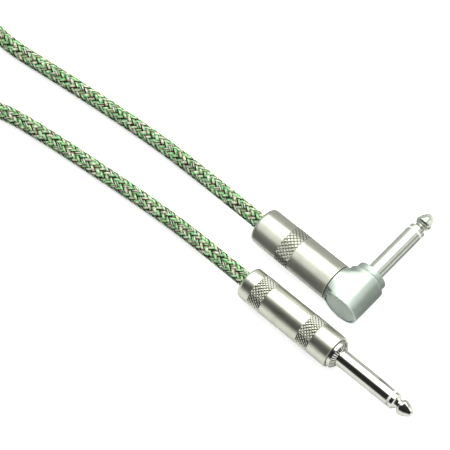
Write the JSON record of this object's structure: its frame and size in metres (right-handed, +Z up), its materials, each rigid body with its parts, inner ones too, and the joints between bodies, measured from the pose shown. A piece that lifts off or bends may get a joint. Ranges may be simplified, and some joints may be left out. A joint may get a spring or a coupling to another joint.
{
  "type": "instrument cable",
  "caption": "Instrument cable with a straight and a right-angle phone plug, screw-on barrels with knurled bands, and a braided cord wound into a round coil.",
  "frame": {"origin": "on the surface that the plugs lie on, under the middle of the box round the two plugs", "axes": "+X the way the straight plug goes into its jack, +Y the way the right-angle plug goes in, +Z up"},
  "size_m": [0.3275, 0.1151, 0.0245],
  "materials": {
    "satin_nickel": "satin",
    "polished_nickel": "polished",
    "pale_insulator": "matte",
    "tinned_brass": "satin",
    "core_insulation": "matte",
    "copper": "satin",
    "solder": "satin",
    "clear_liner": "satin",
    "tweed_braid": "woven"
  },
  "bodies": {
    "cable": {"straight_tip": "polished_nickel", "straight_tip_ring": "pale_insulator", "straight_core_tube": "pale_insulator", "straight_sleeve": "polished_nickel", "straight_rear_washer": "pale_insulator", "straight_tip_lug": "tinned_brass", "straight_ground_lug": "tinned_brass", "straight_core": "core_insulation", "straight_conductor": "copper", "straight_screen_pigtail": "copper", "straight_tip_solder": "solder", "straight_ground_solder": "solder", "straight_cord_end": "tweed_braid", "straight_collar": "satin_nickel", "angled_tip": "polished_nickel", "angled_tip_ring": "pale_insulator", "angled_core_tube": "pale_insulator", "angled_sleeve": "polished_nickel", "angled_rear_washer": "pale_insulator", "angled_tip_lug": "tinned_brass", "angled_ground_lug": "tinned_brass", "angled_core": "core_insulation", "angled_conductor": "copper", "angled_screen_pigtail": "copper", "angled_tip_solder": "solder", "angled_ground_solder": "solder", "angled_cord_end": "tweed_braid", "angled_elbow": "satin_nickel", "angled_cap": "satin_nickel", "cord_coil": "tweed_braid", "cord_run_angled": "tweed_braid", "cord_run_straight": "tweed_braid"},
    "straight_liner_body": {"straight_liner": "clear_liner"},
    "straight_barrel_body": {"straight_barrel": "satin_nickel"},
    "angled_liner_body": {"angled_liner": "clear_liner"},
    "angled_barrel_body": {"angled_barrel": "satin_nickel"}
  },
  "joints": [
    {"name": "straight_barrel_travel", "type": "slide", "parent": "cable", "child": "straight_liner_body", "axis": [-1, 0, 0], "range_m": [0, 0.005]},
    {"name": "straight_barrel_turn", "type": "hinge", "parent": "straight_liner_body", "child": "straight_barrel_body", "pos_m": [-0.00788, -0.02761, 0.00628], "axis": [-1, 0, 0], "range_deg": [0, 1800]},
    {"name": "angled_barrel_travel", "type": "slide", "parent": "cable", "child": "angled_liner_body", "axis": [-1, 0, 0], "range_m": [0, 0.005]},
    {"name": "angled_barrel_turn", "type": "hinge", "parent": "angled_liner_body", "child": "angled_barrel_body", "pos_m": [-0.02167, -0.00801, 0.00718], "axis": [-1, 0, 0], "range_deg": [0, 1800]}
  ],
  "couplings": [
    {"joint": "straight_barrel_travel", "follows": "straight_barrel_turn", "m_per_rad": 0.00015915},
    {"joint": "angled_barrel_travel", "follows": "angled_barrel_turn", "m_per_rad": 0.00015915}
  ]
}
